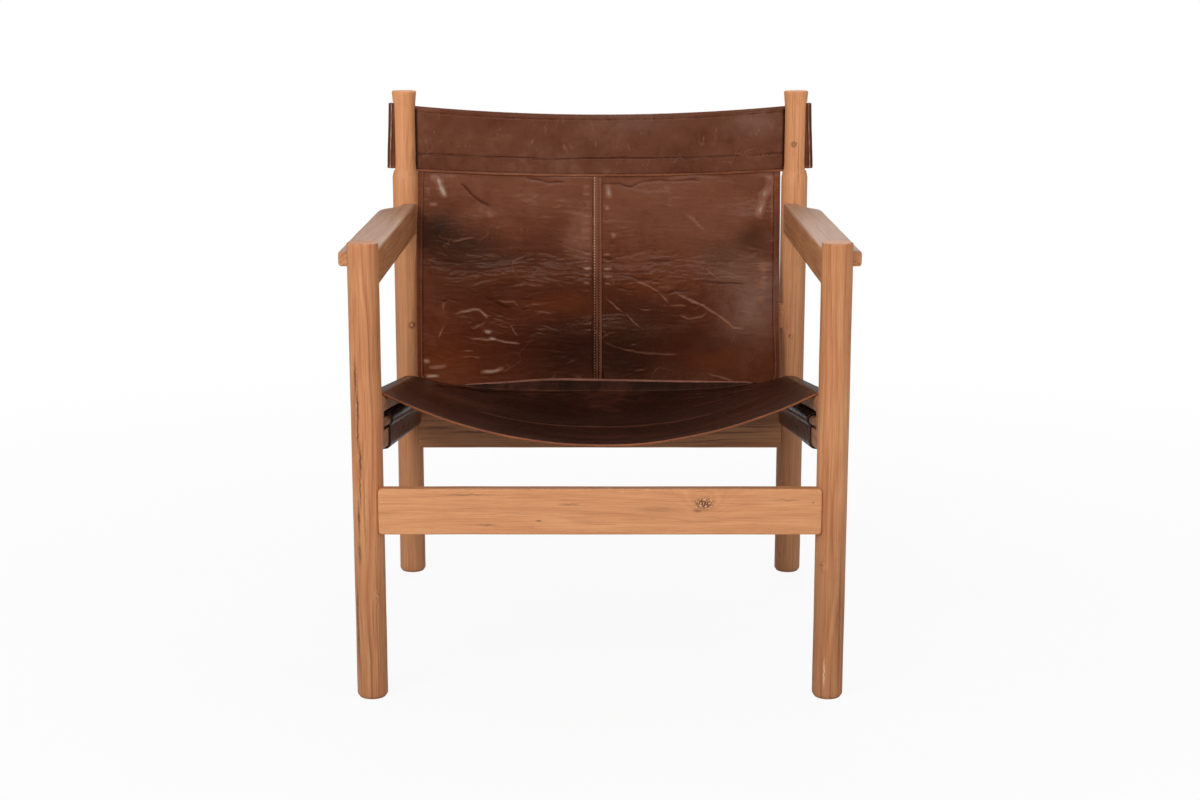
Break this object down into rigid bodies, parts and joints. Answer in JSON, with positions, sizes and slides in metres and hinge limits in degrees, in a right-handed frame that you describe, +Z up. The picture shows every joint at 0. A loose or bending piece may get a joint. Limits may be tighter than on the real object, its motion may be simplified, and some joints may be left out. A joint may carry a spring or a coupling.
{
  "type": "lounge chair",
  "caption": "Low lounge chair with round turned wooden posts, flat armrests, a sagging leather sling seat wrapped over sloping rails and a leather back hung from the posts.",
  "frame": {"origin": "on the floor, at the centre of the chair's outline", "axes": "+Z up, +X to the right in the picture, -Y towards the front, where the sitter faces"},
  "size_m": [0.679, 0.641, 0.779],
  "materials": {
    "teak": "oiled, satin",
    "dowel_wood": "plain, darker end grain",
    "seat_leather": "waxed pull-up hide, semi-gloss",
    "back_leather": "waxed pull-up hide, glossy with dark patches",
    "screw_steel": "darkened"
  },
  "bodies": {
    "root": {"front_leg_left": "teak", "front_leg_right": "teak", "rear_post_left": "teak", "rear_post_right": "teak", "armrest_left": "teak", "armrest_right": "teak", "seat_rail_left": "teak", "seat_rail_right": "teak", "front_stretcher": "teak", "rear_stretcher": "teak", "back_rail": "teak", "seat_dowel_left": "dowel_wood", "seat_dowel_right": "dowel_wood", "band_dowel_left": "dowel_wood", "band_dowel_right": "dowel_wood", "back_rail_peg_left": "dowel_wood", "back_rail_peg_right": "dowel_wood", "post_plug_right": "dowel_wood", "seat_sling": "seat_leather", "back_panel_left": "back_leather", "back_panel_right": "back_leather", "back_band": "back_leather", "hem_screw_left": "screw_steel", "hem_screw_right": "screw_steel"}
  },
  "joints": []
}
